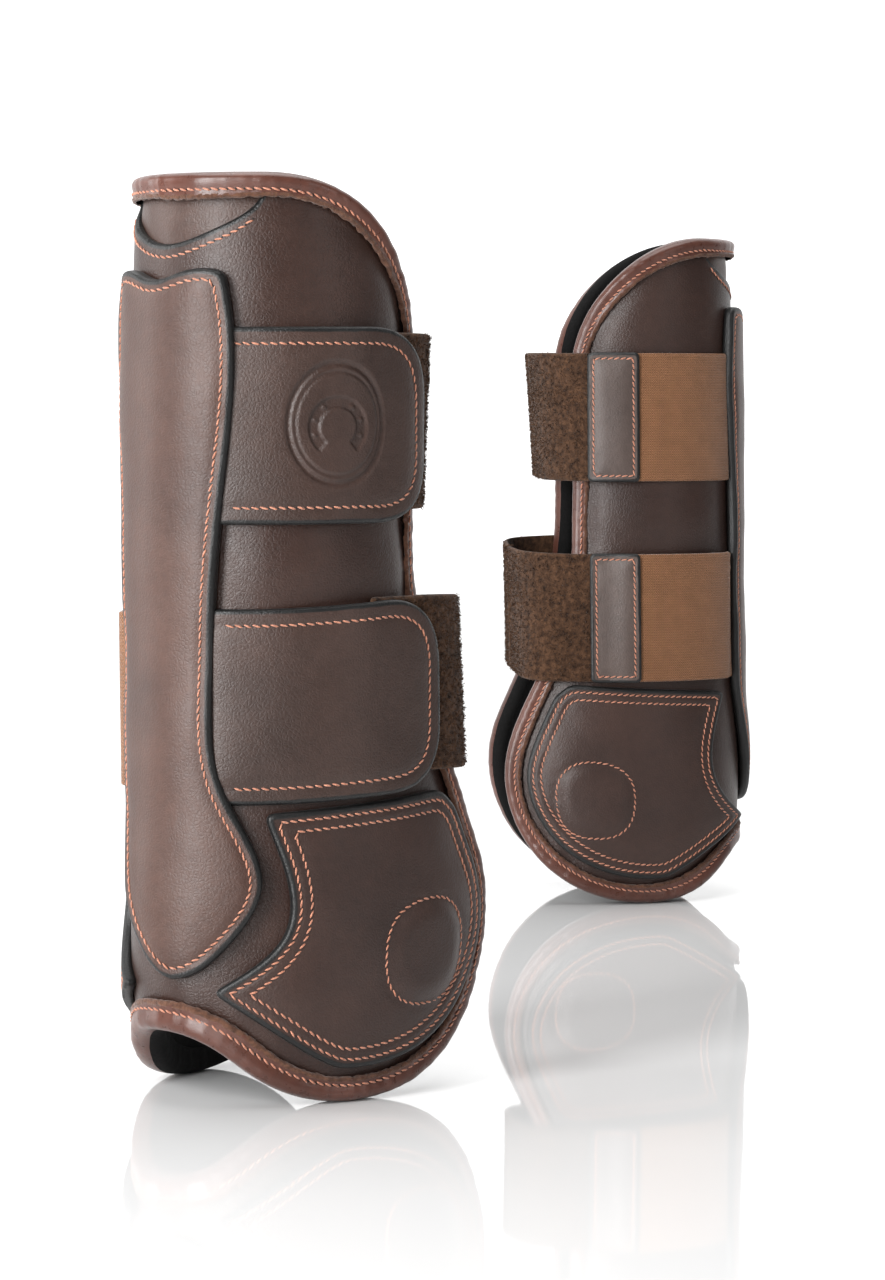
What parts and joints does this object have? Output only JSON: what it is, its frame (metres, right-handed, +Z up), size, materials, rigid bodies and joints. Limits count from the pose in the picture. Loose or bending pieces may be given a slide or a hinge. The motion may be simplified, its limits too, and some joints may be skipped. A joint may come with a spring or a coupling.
{
  "type": "tendon boots",
  "caption": "Pair of open-fronted leather tendon boots with stitched strike guards, fetlock pads, elastic webbing and hook-and-loop straps.",
  "frame": {"origin": "on the floor, under the middle of the pair", "axes": "+Z up; +Y from boot_a back to boot_b; boot_a opens towards +X +Y, boot_b towards -X"},
  "size_m": [0.2172, 0.5426, 0.263],
  "materials": {
    "shell_leather": "satin",
    "guard_leather": "satin",
    "pad_leather": "satin",
    "strap_leather": "satin",
    "tab_leather": "satin",
    "binding_leather": "satin",
    "collar_leather": "satin",
    "guard_core": "matte",
    "lining_cloth": "matte",
    "padding_foam": "matte",
    "elastic_webbing": "matte",
    "pile_tape": "matte",
    "hook_tape": "matte"
  },
  "bodies": {
    "boot_a": {"boot_a_lining": "lining_cloth", "boot_a_padding": "padding_foam", "boot_a_collar_panel": "collar_leather", "boot_a_outer_shell": "shell_leather", "boot_a_edge_binding": "binding_leather", "boot_a_guard_core": "guard_core", "boot_a_strike_guard": "guard_leather", "boot_a_lateral_fetlock_pad": "pad_leather", "boot_a_medial_fetlock_pad": "pad_leather", "boot_a_lateral_fetlock_insert": "pad_leather", "boot_a_medial_fetlock_insert": "pad_leather", "boot_a_upper_strap_root": "strap_leather", "boot_a_lower_strap_root": "strap_leather", "boot_a_upper_elastic_root": "elastic_webbing", "boot_a_lower_elastic_root": "elastic_webbing"},
    "boot_a_upper_strap": {"boot_a_upper_leather_strap": "strap_leather", "boot_a_upper_strap_hooks": "hook_tape"},
    "boot_a_upper_webbing": {"boot_a_upper_elastic": "elastic_webbing", "boot_a_upper_elastic_tab": "tab_leather"},
    "boot_a_upper_pile": {"boot_a_upper_pile_strap": "pile_tape"},
    "boot_a_lower_strap": {"boot_a_lower_leather_strap": "strap_leather", "boot_a_lower_strap_hooks": "hook_tape"},
    "boot_a_lower_webbing": {"boot_a_lower_elastic": "elastic_webbing", "boot_a_lower_elastic_tab": "tab_leather"},
    "boot_a_lower_pile": {"boot_a_lower_pile_strap": "pile_tape"},
    "boot_b": {"boot_b_lining": "lining_cloth", "boot_b_padding": "padding_foam", "boot_b_collar_panel": "collar_leather", "boot_b_outer_shell": "shell_leather", "boot_b_edge_binding": "binding_leather", "boot_b_guard_core": "guard_core", "boot_b_strike_guard": "guard_leather", "boot_b_lateral_fetlock_pad": "pad_leather", "boot_b_medial_fetlock_pad": "pad_leather", "boot_b_lateral_fetlock_insert": "pad_leather", "boot_b_medial_fetlock_insert": "pad_leather", "boot_b_upper_strap_root": "strap_leather", "boot_b_lower_strap_root": "strap_leather", "boot_b_upper_elastic_root": "elastic_webbing", "boot_b_lower_elastic_root": "elastic_webbing"},
    "boot_b_upper_strap": {"boot_b_upper_leather_strap": "strap_leather", "boot_b_upper_strap_hooks": "hook_tape"},
    "boot_b_upper_webbing": {"boot_b_upper_elastic": "elastic_webbing", "boot_b_upper_elastic_tab": "tab_leather"},
    "boot_b_upper_pile": {"boot_b_upper_pile_strap": "pile_tape"},
    "boot_b_lower_strap": {"boot_b_lower_leather_strap": "strap_leather", "boot_b_lower_strap_hooks": "hook_tape"},
    "boot_b_lower_webbing": {"boot_b_lower_elastic": "elastic_webbing", "boot_b_lower_elastic_tab": "tab_leather"},
    "boot_b_lower_pile": {"boot_b_lower_pile_strap": "pile_tape"}
  },
  "joints": [
    {"name": "boot_a_upper_strap_fold", "type": "hinge", "parent": "boot_a", "child": "boot_a_upper_strap", "pos_m": [-0.07407, -0.26654, 0.19233], "axis": [-0.0045, -0.0045, -1], "range_deg": [0, 100]},
    {"name": "boot_a_upper_elastic_fold", "type": "hinge", "parent": "boot_a", "child": "boot_a_upper_webbing", "pos_m": [-0.10515, -0.2351, 0.19233], "axis": [0.0045, 0.0045, 1], "range_deg": [0, 42]},
    {"name": "boot_a_upper_pile_fold", "type": "hinge", "parent": "boot_a_upper_webbing", "child": "boot_a_upper_pile", "pos_m": [-0.07611, -0.18515, 0.19233], "axis": [-0.0065, 0.0065, 1], "range_deg": [0, 102]},
    {"name": "boot_a_lower_strap_fold", "type": "hinge", "parent": "boot_a", "child": "boot_a_lower_strap", "pos_m": [-0.07404, -0.2665, 0.11353], "axis": [0.0052, 0.0052, -1], "range_deg": [0, 100]},
    {"name": "boot_a_lower_elastic_fold", "type": "hinge", "parent": "boot_a", "child": "boot_a_lower_webbing", "pos_m": [-0.10511, -0.23506, 0.11353], "axis": [-0.0054, -0.0054, 1], "range_deg": [0, 42]},
    {"name": "boot_a_lower_pile_fold", "type": "hinge", "parent": "boot_a_lower_webbing", "child": "boot_a_lower_pile", "pos_m": [-0.07834, -0.18292, 0.11353], "axis": [0.0314, -0.0314, 0.999], "range_deg": [0, 102]},
    {"name": "boot_b_upper_strap_fold", "type": "hinge", "parent": "boot_b", "child": "boot_b_upper_strap", "pos_m": [0.09221, 0.25122, 0.19233], "axis": [0.0064, 0.0006, -1], "range_deg": [0, 100]},
    {"name": "boot_b_upper_elastic_fold", "type": "hinge", "parent": "boot_b", "child": "boot_b_upper_webbing", "pos_m": [0.09582, 0.20716, 0.19233], "axis": [-0.0064, -0.0006, 1], "range_deg": [0, 42]},
    {"name": "boot_b_upper_pile_fold", "type": "hinge", "parent": "boot_b_upper_webbing", "child": "boot_b_upper_pile", "pos_m": [0.04146, 0.18756, 0.19233], "axis": [0.0008, -0.0091, 1], "range_deg": [0, 102]},
    {"name": "boot_b_lower_strap_fold", "type": "hinge", "parent": "boot_b", "child": "boot_b_lower_strap", "pos_m": [0.09216, 0.25121, 0.11353], "axis": [-0.0074, -0.0006, -1], "range_deg": [0, 100]},
    {"name": "boot_b_lower_elastic_fold", "type": "hinge", "parent": "boot_b", "child": "boot_b_lower_webbing", "pos_m": [0.09575, 0.20716, 0.11353], "axis": [0.0077, 0.0007, 1], "range_deg": [0, 42]},
    {"name": "boot_b_lower_pile_fold", "type": "hinge", "parent": "boot_b_lower_webbing", "child": "boot_b_lower_pile", "pos_m": [0.04173, 0.18442, 0.11353], "axis": [-0.0039, 0.0442, 0.999], "range_deg": [0, 102]},
    {"name": "boot_b_lift", "type": "slide", "parent": "boot_a", "child": "boot_b", "axis": [0, 0, 1], "range_m": [0, 0.3]}
  ],
  "couplings": [
    {"joint": "boot_a_upper_elastic_fold", "follows": "boot_a_upper_strap_fold", "ratio": 0.4},
    {"joint": "boot_a_upper_pile_fold", "follows": "boot_a_upper_strap_fold", "ratio": 0.95},
    {"joint": "boot_a_lower_elastic_fold", "follows": "boot_a_lower_strap_fold", "ratio": 0.15},
    {"joint": "boot_a_lower_pile_fold", "follows": "boot_a_lower_strap_fold", "ratio": 1},
    {"joint": "boot_b_upper_elastic_fold", "follows": "boot_b_upper_strap_fold", "ratio": 0.4},
    {"joint": "boot_b_upper_pile_fold", "follows": "boot_b_upper_strap_fold", "ratio": 0.95},
    {"joint": "boot_b_lower_elastic_fold", "follows": "boot_b_lower_strap_fold", "ratio": 0.15},
    {"joint": "boot_b_lower_pile_fold", "follows": "boot_b_lower_strap_fold", "ratio": 1}
  ]
}
